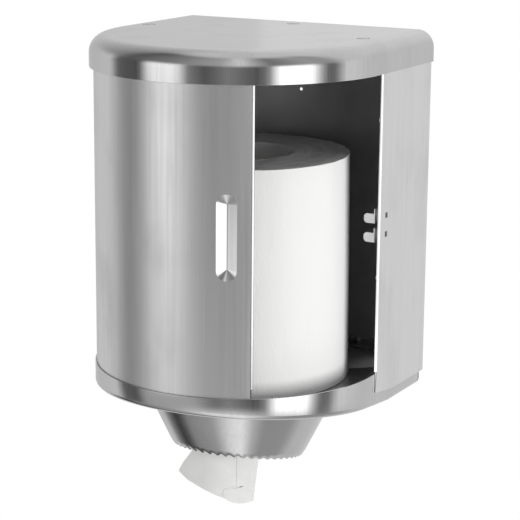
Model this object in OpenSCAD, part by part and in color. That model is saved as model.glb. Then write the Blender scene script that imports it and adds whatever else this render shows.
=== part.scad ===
// Wall dispenser for a large centre-feed paper towel roll, in polished sheet steel.
// A folded casing carries a half-round cap, a tray with an outlet cone and a shelf
// for the roll. A curved door turns about the upright axis of the half round and
// slides away inside the casing. The paper leaves the middle of the roll downwards.
// The origin lies on the wall, in the middle of the four wall holes. -Y faces the
// user and +Z is up.

/* [Casing] */
// Outer radius of the half-round cap, which is half the dispenser's width
cap_r = 134; // [128:1:160]
// Length by which the axis of the half round stands nearer to the wall than the cap's radius
axis_inset = 17; // [10:1:24]
// Height of the cap's top above the tray's rim
case_h = 295.9; // [280:1:420]
// Thickness of the steel sheet
sheet = 1; // [0.8:0.1:1.3]
// Height of the cap's skirt
cap_h = 28.2; // [26:1:40]
// Radius of the cap's rounded edge
cap_edge_r = 16; // [10:1:18]
// Distance from the axis back to the front edge of the right-hand panel
panel_front = 11; // [8:1:16]
// Reach of the left-hand panel in front of the axis
left_reach = 3; // [1:1:6]
// Depth of the hems folded inwards along the panels' front edges
hem_w = 7; // [5:1:12]
// Height of the right-hand hem's lower end above the tray's rim
hem_low = 1.75; // [1:0.25:10]
// Drop of the panels below the tray's rim at the wall
panel_drop = 22; // [16:1:26]
// Slant of the panels' lower edges in front of the tray's kink, in degrees
panel_slant = 7.7; // [0:0.1:12]
// Radius of the casing's upright rear corners
bend_r = 2.5; // [2:0.5:6]

/* [Wall fixing] */
// Spacing of the wall holes across the dispenser
wall_hole_gap_x = 170; // [100:5:190]
// Spacing of the wall holes up the dispenser
wall_hole_gap_z = 150; // [100:5:180]
// Diameter of the wall holes
wall_hole_d = 6.5; // [4:0.5:9]
// Height of the wall holes' middle above the tray's rim
wall_hole_mid = 135; // [110:1:180]
// Diameter of the single hole high up in the back plate
high_hole_d = 3; // [3:0.5:9]
// Height of the single hole above the tray's rim
high_hole_z = 233; // [225:1:250]

/* [Tray and outlet] */
// Depth of the tray below its rim at the wall
tray_deep = 34.2; // [30:1:45]
// Rise of the tray's floor towards the front, in degrees
tray_angle = 5.5; // [0:0.5:7]
// Distance of the floor's kink behind the axis
kink_back = 46; // [30:1:60]
// Radius of the tray's lower edge
tray_edge_r = 5; // [3:0.5:8]
// Outer radius of the outlet cone where it meets the tray
cone_top_r = 88; // [75:1:92]
// Outer radius of the outlet cone's mouth
mouth_r = 60.3; // [50:1:66]
// Depth of the middle of the mouth below the tray's rim
mouth_deep = 86.6; // [75:1:110]
// Slant of the mouth, front lip higher, in degrees
mouth_angle = 11.2; // [0:0.1:14]
// Number of scallops round the mouth
scallops = 48; // [24:1:56]
// Height of a scallop from valley to tip
scallop_h = 1.6; // [0.5:0.1:3]
// Inward curl of the mouth's lip
lip_curl = 1.6; // [0.5:0.1:3]

/* [Shelf] */
// Depth of the shelf's upper face below the tray's rim
shelf_deep = 11; // [10:0.5:14]
// Thickness of the shelf
shelf_t = 1.5; // [1:0.1:2]
// Radius of the paper hole in the shelf
shelf_hole_r = 60; // [50:1:70]
// Outer diameter of the spacers under the shelf
spacer_d = 12; // [9:0.5:14]
// Thread diameter of the weld studs
stud_d = 5; // [4:0.5:6]

/* [Door] */
// Angle of the open door's free edge to the right of straight ahead, in degrees
open_angle = 34.4; // [25:0.1:45]
// Distance that the closed door's edge runs in behind the right-hand panel's edge
edge_overlap = 3.8; // [2:0.1:5]
// Width of the finger recess
recess_w = 18.7; // [14:0.1:24]
// Length of the finger recess
recess_l = 74; // [50:1:120]
// Depth of the finger recess
recess_depth = 7.3; // [4:0.1:8]
// Height of the finger recess's middle above the tray's rim
recess_mid = 139.5; // [100:1:180]
// Angle from the door's free edge back to the middle of the recess, in degrees
recess_back = 10.1; // [8:0.1:20]
// Radius of the rolled bead along the door's free edge
bead_r = 1.15; // [1.1:0.05:1.3]

/* [Tracks] */
// Thickness of the tracks' sheet
track_t = 1; // [0.8:0.1:1.2]
// Thickness of the glides between door and track
glide_t = 3; // [2:0.5:4]
// Height of the glides
glide_h = 6; // [4:0.5:7]
// Rivet diameter
rivet_d = 3; // [2:0.5:4]

/* [Latch] */
// Height of the middle of the two latch fingers above the tray's rim
latch_mid = 133.5; // [110:1:170]
// Distance from one finger to the other
finger_pitch = 17; // [15:0.5:24]
// Length of the fingers from hinge line to tab
finger_l = 27.5; // [22:0.5:32]
// Height of a finger's leaf
finger_h = 12.8; // [10:0.2:14]
// Height of the tab at a finger's end
tab_h = 8.4; // [6:0.2:10]
// Length of the tab
tab_l = 10.5; // [7:0.5:13]

/* [Paper] */
// Room between the roll and the inside of the door
roll_room = 27.2; // [24:0.1:60]
// Height of the roll
roll_h = 203; // [150:1:215]
// Radius of the hole in the roll
roll_hole_r = 49; // [30:1:54]
// Lowest point of the hanging tail below the tray's rim
tail_deep = 142; // [120:1:170]
// Width of the hanging tail at its lower end
tail_w = 72; // [50:1:76]

/* [Hidden] */
$fn = 96;

// Overrun of every cut, clearances and the seat between formed sheets
over = 1;
slip = 0.2;
run_gap = 0.3;
seat = 0.1;
pin_gap = 0.05;

// Colours as the metal and the paper show them
steel_colour = "silver";
inner_colour = "darkgray";
glide_colour = "dimgray";
paper_colour = "white";

// Distance from the wall to the axis, and radii of the half-round pieces, from the cap inwards
axis_back = cap_r - axis_inset;
cap_in_r = cap_r - sheet;
side_out = cap_in_r - slip;
side_in = side_out - sheet;
hem_in = side_in - sheet;
back_in = axis_back - sheet;
tray_r = side_in - slip;
tray_in_r = tray_r - sheet;
tray_back = back_in - slip;
door_play = 0.4;
door_r = tray_in_r - door_play;
door_in_r = door_r - sheet;
track_r = door_in_r - glide_t - run_gap;
track_in_r = track_r - track_t;

// Levels, measured from the tray's rim
cap_low = case_h - cap_h;
cap_under = case_h - sheet;
panel_top = case_h - cap_edge_r;
shelf_top = -shelf_deep;
shelf_low = shelf_top - shelf_t;
door_low = shelf_top + run_gap;
door_top_share = 0.457;
door_top = case_h - door_top_share * cap_h;

// Tabs at the top of the casing and the rivets that clamp them to the cap
tab_w = 20;
tab_reach = 18;
tab_out_r = cap_edge_r - sheet - slip;
tab_mid_y = panel_front + tab_w / 2;
tab_top = cap_under - slip;
tab_x = side_out - tab_out_r;
rivet_x = tab_x - tab_reach / 2;
back_tab_reach = 28;
rivet_wall_gap = 18;
rivet_back_y = back_in - rivet_wall_gap;
cap_rivet_d = 10;
cap_rivet_shank_d = 5;
cap_rivet_tail_d = 8;
cap_rivet_tail_t = 1.5;

// Slots for the latch key
slot_w = 3.4;
slot_h = 4.8;
slot_edge_gap = 15;
slot_y = panel_front + slot_edge_gap;

// Shelf outline and its spacers
shelf_play = 1.1;
shelf_r = tray_in_r - shelf_play;
shelf_back_gap = 3;
shelf_back = back_in - shelf_back_gap;
shelf_corner_r = 30;
spacer_edge = 15;
front_spacer_angle = 45;
front_spacer_r = shelf_r - spacer_edge;
rear_spacer_share = 0.438;
rear_spacer_x = rear_spacer_share * shelf_r;
rear_spacer_y = shelf_back - spacer_edge;
stud_reach = 6;
nut_d = 8.8;
nut_t = 3.2;

// Angles of the door, counted from straight ahead to the right
door_back = tray_back - sheet - run_gap;
door_from = -acos(-min(1, door_back / door_r));
closed_angle = acos(-(panel_front + edge_overlap) / door_r);
travel = closed_angle - open_angle;
bead_angle = asin(bead_r / (door_r - bead_r));
bead_low = 7.7;
bead_lap = 5;
bead_top = cap_low + bead_lap;

// Finger recess, a channel whose round section is set by its width and depth
recess_r = (recess_w * recess_w / 4 + recess_depth * recess_depth) / (2 * recess_depth);
recess_c = door_r + recess_r - recess_depth;
recess_angle = open_angle - recess_back;
recess_wall = 0.8;
recess_half = recess_l / 2 - recess_w / 2;

// Tracks, glides and their rivets
glide_arc_angle = 4;
glide_edge_angle = 1.4;
glide_end = glide_edge_angle + bead_angle;
glide_angles = [door_from + glide_end, (door_from + open_angle) / 2,
  open_angle - glide_end - glide_arc_angle];
lower_glide_z = door_low + slip;
upper_glide_z = door_top - glide_h - slip;
track_start_angle = 3;
track_from = door_from + track_start_angle;
track_past_rivet = 6.4;
track_end_angle = 90 + asin((tab_mid_y + track_past_rivet) / rivet_x);
track_lip = 2;
lower_track_h = glide_h + track_lip;
track_foot_w = 5.5;
rear_rivet_angle = 13.5;
end_rivet_angle = 5;
lower_rivet_angles = [track_from + rear_rivet_angle, -90, -15, 15, 75, track_end_angle - end_rivet_angle];
upper_lip_low = upper_glide_z - slip;
upper_step_z = door_top + track_lip;
upper_flange_top = tab_top - sheet;
upper_web_r = cap_r - cap_edge_r - slip;
upper_flange_r = rivet_x - cap_rivet_shank_d;
stop_gap_angle = 0.2;
stop_from = open_angle - glide_end + travel + stop_gap_angle;
stop_arc_angle = 3;
stop_to = stop_from + stop_arc_angle;
stop_out_r = track_r + glide_t / 2;
rivet_head_t = 1;

// Latch, whose plate is stepped in from the right-hand panel
leaf_t = 0.8;
leaf_inset = 4.3;
leaf_out_x = hem_in - leaf_inset;
hinge_back = 32;
hinge_y = panel_front + hinge_back;
hinge_gap = 0.3;
plate_lip = 4;
plate_step_y = hinge_y + plate_lip;
plate_ramp = 3;
plate_base_y = plate_step_y + plate_ramp;
plate_base_l = 17;
plate_back_y = plate_base_y + plate_base_l;
plate_margin = 2;
plate_h = finger_pitch + finger_h + 2 * plate_margin;
latch_stud_d = 4;
latch_stud_y = (plate_base_y + plate_back_y) / 2;
latch_stud_l = 6;
latch_nut_d = 7;
latch_nut_t = 2.6;
fork_w = 5;
tab_chamfer = 2;

// Paper
roll_r = door_in_r - roll_room;
roll_front = 5;
roll_edge_r = 3;
roll_low = shelf_top + run_gap;
tail_t = 0.6;
tail_turn_angle = 28.6;
tail_cols = 24;
tail_rows = 18;

// Height of the tray's underside and of its floor over a place y
function underside(y) = -tray_deep + max(0, kink_back - y) * tan(tray_angle);
function floor_z(y) = underside(y) + sheet;
// Point at radius r and angle a from straight ahead
function polar(r, a) = [r * sin(a), -r * cos(a)];
function mix(a, b, t) = a + (b - a) * t;
function smooth(t) = t * t * (3 - 2 * t);

// From the dispenser's own frame on the axis to the frame on the wall
module home() translate([0, -axis_back, -wall_hole_mid]) children();

// Flat outline from y = front to y = back with two round rear corners
module back_plan(half_w, front, back, r) {
  translate([-half_w, front]) square([2 * half_w, back - front - r]);
  translate([r - half_w, front]) square([2 * (half_w - r), back - front]);
  for (s = [-1, 1]) translate([s * (half_w - r), back - r]) intersection() {
    circle(r);
    translate([-r, 0]) square([2 * r, r]);
  }
}

// Half-round outline with a straight back
module d_plan(r, back, corner) {
  intersection() {
    circle(r);
    translate([-r, -r]) square([2 * r, r + corner]);
  }
  back_plan(r, 0, back, corner);
}

// Ring piece of rectangular section between two angles
module sector(r_in, r_out, z_from, z_to, from, to) {
  translate([0, 0, z_from]) rotate([0, 0, from - 90]) rotate_extrude(angle = to - from)
    translate([r_in, 0]) square([r_out - r_in, z_to - z_from]);
}

// Round pin along a radius of the half round
module radial_pin(r_from, r_to, a, z, d) {
  translate([0, 0, z]) rotate([0, 0, a - 90]) rotate([0, 90, 0])
    translate([0, 0, r_from]) cylinder(d = d, h = r_to - r_from);
}

// Solid half-round form with a rounded upper edge
module lid_form(r, low, top, edge, back) {
  rotate([0, 0, 180]) rotate_extrude(angle = 180) {
    translate([0, low]) square([r, top - edge - low]);
    translate([0, low]) square([r - edge, top - low]);
    translate([r - edge, top - edge]) intersection() {
      circle(edge);
      square(edge);
    }
  }
  translate([0, back, 0]) rotate([90, 0, 0]) linear_extrude(back) back_plan(r, low, top, edge);
}

// Casing
module slanted_cut() {
  low_front = -panel_drop + (kink_back + left_reach + over) * tan(panel_slant);
  rotate([90, 0, 90]) translate([0, 0, -side_out - over])
    linear_extrude(2 * (side_out + over))
      polygon([[-left_reach - over, low_front], [kink_back, -panel_drop],
        [axis_back + over, -panel_drop], [axis_back + over, -tray_deep - over],
        [-left_reach - over, -tray_deep - over]]);
}

module side_panel(side, front, low) {
  wall_mid = side * (side_out - sheet / 2);
  translate([wall_mid - sheet / 2, front + sheet, -panel_drop])
    cube([sheet, axis_back - bend_r - front - sheet, panel_top + panel_drop]);
  translate([side * side_in, front + sheet, low]) cylinder(r = sheet, h = panel_top - low);
  translate([side * (side_in - sheet / 2) - sheet / 2, front + sheet, low])
    cube([sheet, hem_w, panel_top - low]);
  if (low > -panel_drop)
    translate([wall_mid - sheet / 2, front, -panel_drop])
      cube([sheet, 2 * sheet, low + panel_drop]);
}

module back_plate() {
  translate([0, 0, -panel_drop]) linear_extrude(panel_top + panel_drop) difference() {
    back_plan(side_out, axis_back - bend_r - over, axis_back, bend_r);
    back_plan(side_in, axis_back - bend_r - 2 * over, back_in, bend_r - sheet);
  }
  translate([0, axis_back, 0]) rotate([90, 0, 0]) linear_extrude(sheet) difference() {
    translate([0, panel_top - bend_r]) back_plan(side_out, 0, tab_top - panel_top + bend_r, tab_out_r);
    for (s = [-1, 1]) translate([s * side_out - over, panel_top - bend_r - over])
      square([2 * over, bend_r + over]);
  }
}

module side_tab() {
  translate([0, panel_front + tab_w, 0]) rotate([90, 0, 0]) linear_extrude(tab_w) {
    intersection() {
      translate([tab_x, panel_top]) difference() {
        circle(tab_out_r);
        circle(tab_out_r - sheet);
      }
      translate([tab_x, panel_top]) square(tab_out_r + over);
    }
    translate([tab_x - tab_reach, tab_top - sheet]) square([tab_reach + sheet / 2, sheet]);
    translate([side_in, panel_top - sheet]) square([sheet, sheet + slip]);
  }
}

module back_tab() {
  translate([-tab_w / 2, back_in - back_tab_reach, tab_top - sheet])
    cube([tab_w, back_tab_reach + sheet / 2, sheet]);
}

module casing() color(steel_colour) home() difference() {
  union() {
    back_plate();
    side_panel(1, panel_front, hem_low);
    side_panel(-1, -left_reach, hem_low);
    side_tab();
    mirror([1, 0, 0]) side_tab();
    back_tab();
  }
  slanted_cut();
  for (x = [-1, 1], z = [-1, 1])
    translate([x * wall_hole_gap_x / 2, axis_back + over, wall_hole_mid + z * wall_hole_gap_z / 2])
      rotate([90, 0, 0]) cylinder(d = wall_hole_d, h = sheet + 2 * over);
  translate([0, axis_back + over, high_hole_z]) rotate([90, 0, 0])
    cylinder(d = high_hole_d, h = sheet + 2 * over);
  for (s = [-1, 1])
    translate([side_in - over, slot_y - slot_w / 2, latch_mid + s * finger_pitch / 2 - slot_h / 2])
      cube([sheet + 2 * over, slot_w, slot_h]);
  for (s = [-1, 1]) translate([s * rivet_x, tab_mid_y, tab_top - sheet - over])
    cylinder(d = cap_rivet_shank_d + 2 * pin_gap, h = sheet + 2 * over);
  translate([0, rivet_back_y, tab_top - sheet - over])
    cylinder(d = cap_rivet_shank_d + 2 * pin_gap, h = sheet + 2 * over);
}

// Cap
module top_cap() color(steel_colour) home() difference() {
  lid_form(cap_r, cap_low, case_h, cap_edge_r, axis_back);
  lid_form(cap_in_r, cap_low - over, cap_under, cap_edge_r - sheet, axis_back + over);
  for (s = [-1, 1]) translate([s * rivet_x, tab_mid_y, cap_under - over])
    cylinder(d = cap_rivet_d + 2 * pin_gap, h = sheet + 2 * over);
  translate([0, rivet_back_y, cap_under - over])
    cylinder(d = cap_rivet_d + 2 * pin_gap, h = sheet + 2 * over);
}

module cap_rivet(grip_low) {
  translate([0, 0, cap_under + pin_gap]) cylinder(d = cap_rivet_d, h = sheet - pin_gap);
  translate([0, 0, grip_low]) cylinder(d = cap_rivet_shank_d, h = case_h - grip_low - sheet / 2);
  translate([0, 0, grip_low - cap_rivet_tail_t]) cylinder(d = cap_rivet_tail_d, h = cap_rivet_tail_t);
}

module cap_rivets() color(steel_colour) home() {
  for (s = [-1, 1]) translate([s * rivet_x, tab_mid_y, 0]) cap_rivet(upper_flange_top - track_t);
  translate([0, rivet_back_y, 0]) cap_rivet(tab_top - sheet);
}

// Tray, level at the wall and rising to the front. It is drawn ring by ring, each
// ring a half-round outline: down the outside, round the lower edge, inwards to
// the outlet, and back up on the inside.
tray_front_cols = 72;
tray_corner_r = 6;
tray_edge_angles = [0, 30, 60, 90];
side_y = concat([for (k = [1 : 3]) kink_back * k / 3],
  [for (k = [1 : 3]) mix(kink_back, tray_back - tray_corner_r, k / 4)]);
back_shares = [for (k = [4 : -1 : -4]) k / 5];
outlet_r = cone_top_r - sheet;

function tray_outline(inset) =
  let (
    r = tray_r - inset,
    cx = tray_r - tray_corner_r,
    cy = tray_back - tray_corner_r,
    cr = tray_corner_r - inset,
    last = len(side_y) - 1
  ) concat(
    [for (k = [0 : tray_front_cols]) let (a = 180 * (1 + k / tray_front_cols)) [r * cos(a), r * sin(a)]],
    [for (y = side_y) [r, y]],
    [for (a = [0, 45, 90]) [cx + cr * cos(a), cy + cr * sin(a)]],
    [for (share = back_shares) [share * cx, tray_back - inset]],
    [for (a = [90, 135, 180]) [cr * cos(a) - cx, cy + cr * sin(a)]],
    [for (k = [last : -1 : 0]) [-r, side_y[k]]]);

function outlet_outline(outline) =
  [for (p = outline) let (a = atan2(p[1] - cone_top_y, p[0])) [outlet_r * cos(a), cone_top_y + outlet_r * sin(a)]];

// Ring of the lower edge at angle a: inset from the side and lift over the floor
function edge_ring(inset, edge, lift, a) =
  [for (p = tray_outline(inset + edge * (1 - cos(a)))) [p[0], p[1], underside(p[1]) + lift + edge * (1 - sin(a))]];
function at_level(outline, lift) = [for (p = outline) [p[0], p[1], underside(p[1]) + lift]];

// Faces between rings of equal count, each ring joined to the next, the last to the first
function ring_faces(rings, cols) =
  [for (k = [0 : rings - 1], c = [0 : cols - 1])
    let (n = (c + 1) % cols, m = (k + 1) % rings)
    each [[k * cols + c, k * cols + n, m * cols + n], [k * cols + c, m * cols + n, m * cols + c]]];

module bottom_tray() color(steel_colour) home() {
  inner_edge = tray_edge_r - sheet;
  low = tray_outline(tray_edge_r);
  outlet = outlet_outline(low);
  last = len(tray_edge_angles) - 1;
  rings = concat(
    [[for (p = tray_outline(0)) [p[0], p[1], 0]]],
    [for (a = tray_edge_angles) edge_ring(0, tray_edge_r, 0, a)],
    [at_level(mix(low, outlet, 0.5), 0), at_level(outlet, 0)],
    [at_level(outlet, sheet), at_level(mix(low, outlet, 0.5), sheet)],
    [for (k = [last : -1 : 0]) edge_ring(sheet, inner_edge, sheet, tray_edge_angles[k])],
    [[for (p = tray_outline(sheet)) [p[0], p[1], 0]]]);
  polyhedron([for (ring = rings) each ring], ring_faces(len(rings), len(rings[0])));
}

// Outlet cone, from the sloping tray down to a slanted and scalloped mouth.
// Each ring is a level circle in plan that leans with the two ends' slopes.
cone_top_y = 1.6;
mouth_y = -1.75;
cone_cols = scallops * 4;
// Place along the wall from the tray to the mouth, and inward curl, ring by ring
cone_rings_shares = [[0, 0], [0.5, 0], [0.9, 0], [0.965, 0.25], [1, 1]];
cone_wall = sheet / cos(atan((cone_top_r - mouth_r) / (mouth_deep - tray_deep)));

function mouth_z(y) = -mouth_deep - (y - mouth_y) * tan(mouth_angle);
function cone_point(t, curl, inset, col) =
  let (
    a = 360 * col / cone_cols,
    r = mix(cone_top_r, mouth_r, t) - curl * lip_curl - inset,
    y = mix(cone_top_y, mouth_y, t) + r * sin(a),
    wave = t == 1 ? scallop_h / 2 * cos(scallops * a) : 0
  ) [r * cos(a), y, mix(underside(y) - seat, mouth_z(y), t) + wave];

module outlet_cone() color(steel_colour) home() {
  last = len(cone_rings_shares) - 1;
  rings = [for (k = [0 : last]) [cone_rings_shares[k], 0], for (k = [last : -1 : 0]) [cone_rings_shares[k], cone_wall]];
  count = len(rings);
  points = [for (ring = rings, c = [0 : cone_cols - 1]) cone_point(ring[0][0], ring[0][1], ring[1], c)];
  polyhedron(points, ring_faces(count, cone_cols));
}

// Shelf and what carries it
module spacer_places() {
  for (s = [-1, 1]) {
    translate(concat(polar(front_spacer_r, s * front_spacer_angle), 0)) children();
    translate([s * rear_spacer_x, rear_spacer_y, 0]) children();
  }
}

module under_floor(lift) {
  rotate([90, 0, 90]) translate([0, 0, -cap_r]) linear_extrude(2 * cap_r)
    polygon([[-cap_r, floor_z(-cap_r) + lift], [kink_back, floor_z(kink_back) + lift],
      [axis_back, floor_z(axis_back) + lift], [axis_back, -2 * tray_deep], [-cap_r, -2 * tray_deep]]);
}

module roll_shelf() color(inner_colour) home() translate([0, 0, shelf_low])
  linear_extrude(shelf_t) difference() {
    d_plan(shelf_r, shelf_back, shelf_corner_r);
    circle(shelf_hole_r);
    spacer_places() circle(d = stud_d + 2 * pin_gap);
  }

module shelf_spacers() color(inner_colour) home() difference() {
  spacer_places() translate([0, 0, -tray_deep]) cylinder(d = spacer_d, h = shelf_low + tray_deep);
  spacer_places() translate([0, 0, -tray_deep - over])
    cylinder(d = stud_d + 2 * pin_gap, h = shelf_low + tray_deep + 2 * over);
  under_floor(seat);
}

module shelf_studs() color(inner_colour) home() difference() {
  spacer_places() translate([0, 0, -tray_deep]) cylinder(d = stud_d, h = shelf_top + tray_deep + stud_reach);
  under_floor(seat);
}

module shelf_nuts() color(inner_colour) home()
  spacer_places() translate([0, 0, shelf_top]) difference() {
    cylinder(d = nut_d, h = nut_t, $fn = 6);
    translate([0, 0, -over]) cylinder(d = stud_d + 2 * pin_gap, h = nut_t + 2 * over);
  }

// Tracks that guide the door's edges
module lower_track() color(inner_colour) home() difference() {
  union() {
    sector(track_in_r, track_r, shelf_top, shelf_top + lower_track_h, track_from, track_end_angle);
    sector(track_r - track_foot_w, track_in_r + track_t / 2, shelf_top, shelf_top + track_t,
      track_from, track_end_angle);
  }
  lower_rivet_places() translate([0, 0, -over])
    cylinder(d = rivet_d + 2 * pin_gap, h = track_t + 2 * over);
}

module lower_rivet_places() {
  for (a = lower_rivet_angles)
    translate(concat(polar(track_r - (track_foot_w + track_t) / 2, a), shelf_top)) children();
}

module upper_track() color(inner_colour) home() difference() {
  rotate([0, 0, track_from - 90]) rotate_extrude(angle = track_end_angle - track_from)
    polygon([[upper_flange_r, upper_flange_top - track_t], [upper_web_r - track_t, upper_flange_top - track_t],
      [upper_web_r - track_t, upper_step_z], [track_in_r, upper_step_z], [track_in_r, upper_lip_low],
      [track_r, upper_lip_low], [track_r, upper_step_z + track_t], [upper_web_r, upper_step_z + track_t],
      [upper_web_r, upper_flange_top], [upper_flange_r, upper_flange_top]]);
  for (s = [-1, 1]) translate([s * rivet_x, tab_mid_y, upper_flange_top - track_t - over])
    cylinder(d = cap_rivet_shank_d + 2 * pin_gap, h = track_t + 2 * over);
}

module track_rivets() color(inner_colour) home() lower_rivet_places() {
  translate([0, 0, track_t + pin_gap]) cylinder(d = rivet_d + rivet_head_t, h = rivet_head_t);
  translate([0, 0, pin_gap]) cylinder(d = rivet_d, h = track_t + pin_gap);
}

module track_stops() color(inner_colour) home() {
  sector(track_r, stop_out_r, lower_glide_z, shelf_top + lower_track_h, stop_from, stop_to);
  sector(track_r, stop_out_r, upper_lip_low, upper_glide_z + glide_h, stop_from, stop_to);
}

// Door
module recess_form(r) {
  translate(concat(polar(recess_c, recess_angle), recess_mid)) {
    translate([0, 0, -recess_half]) cylinder(r = r, h = 2 * recess_half);
    for (s = [-1, 1]) translate([0, 0, s * recess_half]) sphere(r);
  }
}

module glide_pins(r_from, r_to, d) {
  for (a = glide_angles) {
    radial_pin(r_from, r_to, a + glide_arc_angle / 2, lower_glide_z + glide_h / 2, d);
    radial_pin(r_from, r_to, a + glide_arc_angle / 2, upper_glide_z + glide_h / 2, d);
  }
}

module door() color(steel_colour) home() difference() {
  union() {
    sector(door_in_r, door_r, door_low, door_top, door_from, open_angle - bead_angle);
    translate(concat(polar(door_r - bead_r, open_angle - bead_angle), bead_low))
      cylinder(r = bead_r, h = bead_top - bead_low);
    intersection() {
      recess_form(recess_r + recess_wall);
      translate([0, 0, door_low]) cylinder(r = door_r - sheet / 2, h = door_top - door_low);
    }
  }
  recess_form(recess_r);
  glide_pins(door_in_r - over, door_r + over, rivet_d + 2 * pin_gap);
}

module glides(z) difference() {
  for (a = glide_angles) sector(track_r + run_gap, door_in_r, z, z + glide_h, a, a + glide_arc_angle);
  glide_pins(track_r, door_r, rivet_d + 2 * pin_gap);
}

module lower_glides() color(glide_colour) home() glides(lower_glide_z);

module upper_glides() color(glide_colour) home() glides(upper_glide_z);

module glide_rivets() color(steel_colour) home() glide_pins(track_r + 2 * run_gap, door_r, rivet_d);

// Latch behind the key slots
module latch_plate() color(inner_colour) home() difference() {
  translate([0, 0, latch_mid - plate_h / 2]) linear_extrude(plate_h)
    polygon([[leaf_out_x - leaf_t, hinge_y + hinge_gap], [leaf_out_x, hinge_y + hinge_gap],
      [leaf_out_x, plate_step_y], [side_in, plate_base_y], [side_in, plate_back_y],
      [side_in - leaf_t, plate_back_y], [side_in - leaf_t, plate_base_y + leaf_t],
      [leaf_out_x - leaf_t, plate_step_y + leaf_t]]);
  latch_pins(side_in - leaf_t - over, side_in + over, latch_stud_d + 2 * pin_gap);
}

module latch_pins(x_from, x_to, d) {
  for (s = [-1, 1]) translate([x_from, latch_stud_y, latch_mid + s * finger_pitch / 2])
    rotate([0, 90, 0]) cylinder(d = d, h = x_to - x_from);
}

module latch_studs() color(inner_colour) home()
  latch_pins(side_in - latch_stud_l, side_in, latch_stud_d);

module latch_nuts() color(inner_colour) home() difference() {
  for (s = [-1, 1])
    translate([side_in - leaf_t - latch_nut_t, latch_stud_y, latch_mid + s * finger_pitch / 2])
      rotate([0, 90, 0]) cylinder(d = latch_nut_d, h = latch_nut_t, $fn = 6);
  latch_pins(side_in - latch_stud_l - over, side_in - leaf_t + over, latch_stud_d + 2 * pin_gap);
}

module latch_fingers() color(steel_colour) home() {
  tab_y = hinge_y - hinge_gap - finger_l;
  fork_low = latch_mid - (finger_pitch + finger_h) / 2;
  for (s = [-1, 1]) translate([0, 0, latch_mid + s * finger_pitch / 2]) {
    translate([leaf_out_x - leaf_t, tab_y, -finger_h / 2]) cube([leaf_t, finger_l, finger_h]);
    translate([leaf_out_x, tab_y + leaf_t, -finger_h / 2]) rotate([90, 0, 0]) linear_extrude(leaf_t)
      polygon([[0, 0], [0, tab_h], [tab_chamfer - tab_l, tab_h], [-tab_l, tab_h - tab_chamfer],
        [-tab_l, tab_chamfer], [tab_chamfer - tab_l, 0]]);
  }
  translate([leaf_out_x - leaf_t, hinge_y - hinge_gap - fork_w, fork_low])
    cube([leaf_t, fork_w, finger_pitch + finger_h]);
}

// Paper
module paper_roll() color(paper_colour) home() translate([0, -roll_front, roll_low])
  rotate_extrude() difference() {
    union() {
      translate([roll_hole_r, 0]) square([roll_r - roll_edge_r - roll_hole_r, roll_h]);
      translate([roll_hole_r, roll_edge_r]) square([roll_r - roll_hole_r, roll_h - 2 * roll_edge_r]);
      for (z = [roll_edge_r, roll_h - roll_edge_r]) translate([roll_r - roll_edge_r, z]) circle(roll_edge_r);
    }
  }

// The tail leaves the wall of the roll's hole as a curved sheet, gathers in the
// cone and hangs out below it with two soft folds and a slanted lower edge.
tail_top = 25;
tail_wrap = 150;
tail_shift = -20.4;
// Width and sideways shift of the sheet below the roll, as shares of its lower
// width, and depth of its folds as shares of the same, from top to bottom
tail_width_shares = [0.95, 0.86, 0.8, 0.83, 0.98, 0.94];
tail_shift_shares = [0, -0.02, -0.06, -0.14, -0.24, -0.27];
tail_fold_shares = [0.2, 0.17, 0.14, 0.12, 0.1, 0.08];
// How fast the sheet leaves the roll's wall, and how its lower edge slants
tail_settle_share = 2.2;
tail_slant_share = 0.42;
tail_slant_power = 1.3;
// The folds as one wave across the sheet: its turns, its start and its lean
tail_wave = 270;
tail_wave_start = 40;
tail_wave_lean = 0.6;
tail_step = 0.01;

function along(table, t) =
  let (p = t * (len(table) - 1), k = max(0, min(floor(p), len(table) - 2))) mix(table[k], table[k + 1], p - k);
function tail_low(u) = -tail_deep + tail_w * tail_slant_share * pow(max(0, (1 - u) / 2), tail_slant_power);
function tail_mid(u, v) =
  let (
    settle = smooth(max(0, min(1, v * tail_settle_share))),
    wrap = tail_wrap / 2 * u + 90,
    wall_r = roll_hole_r - run_gap - tail_t,
    on_wall = [wall_r * cos(wrap), wall_r * sin(wrap)],
    s = tail_w * (along(tail_shift_shares, v) + u * along(tail_width_shares, v) / 2),
    wave = cos(tail_wave * u + tail_wave_start) - tail_wave_lean * u,
    fold = tail_w * along(tail_fold_shares, v) * wave,
    c = cos(tail_turn_angle),
    n = sin(tail_turn_angle),
    hanging = [s * c + fold * n, s * n - fold * c],
    plan = mix(on_wall, hanging, settle)
  ) [plan[0], plan[1] - roll_front, mix(tail_top, tail_low(u), v)];
// The sheet's two faces lie half its thickness either side, square to its surface
function tail_point(u, v, side) =
  let (
    across = tail_mid(u + tail_step, v) - tail_mid(u - tail_step, v),
    down = tail_mid(u, v + tail_step) - tail_mid(u, v - tail_step),
    square_to = cross(across, down)
  ) tail_mid(u, v) + (side * 2 - 1) * tail_t / 2 * square_to / norm(square_to);

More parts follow.
